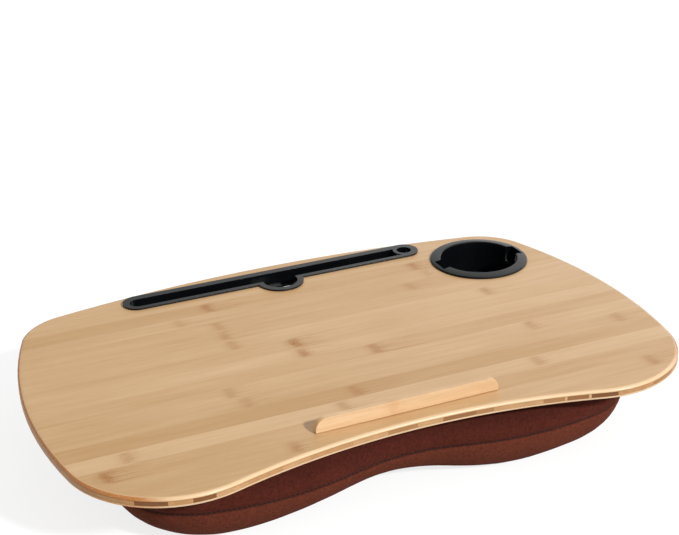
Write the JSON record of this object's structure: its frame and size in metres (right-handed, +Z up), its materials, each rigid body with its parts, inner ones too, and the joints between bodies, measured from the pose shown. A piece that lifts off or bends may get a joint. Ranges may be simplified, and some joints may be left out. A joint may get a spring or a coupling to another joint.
{
  "type": "lap desk",
  "caption": "Bamboo lap desk with a cushion, media tray, cup holder and lift-out device ledge.",
  "frame": {"origin": "on the surface it rests on, under the middle of the board", "axes": "+X along the desk to the user's right, +Y away from the user, +Z up from the lap to the board's top face"},
  "size_m": [0.56, 0.3631, 0.091],
  "materials": {
    "bamboo": "satin lacquer over strips of bamboo",
    "bamboo_end_grain": "cross strips, end grain at the edge",
    "pale_bamboo": "satin",
    "black_plastic": "fine satin moulding",
    "brown_knit": "fine brushed knit",
    "brown_knit_side": "fine brushed knit",
    "lining": "plain woven lining",
    "bead_fill": "small foam beads",
    "hook_tape": "hook tape",
    "loop_tape": "loop tape"
  },
  "bodies": {
    "desk": {"board_top_ply": "bamboo", "board_core_ply": "bamboo_end_grain", "board_bottom_ply": "pale_bamboo", "media_tray": "black_plastic", "cup_holder": "black_plastic", "cushion_side_panel": "brown_knit_side", "cushion_lower_panel": "brown_knit", "cushion_top_liner": "lining", "cushion_fill_left": "bead_fill", "cushion_fill_right": "bead_fill", "hook_strip_back_left": "hook_tape", "hook_strip_back_right": "hook_tape", "hook_strip_front_left": "hook_tape", "hook_strip_front_right": "hook_tape", "loop_strip_back_left": "loop_tape", "loop_strip_back_right": "loop_tape", "loop_strip_front_left": "loop_tape", "loop_strip_front_right": "loop_tape"},
    "device_ledge": {"device_ledge": "bamboo"}
  },
  "joints": [
    {"name": "ledge_lift_out", "type": "slide", "parent": "desk", "child": "device_ledge", "axis": [0, 0, 1], "range_m": [0, 0.012]}
  ]
}
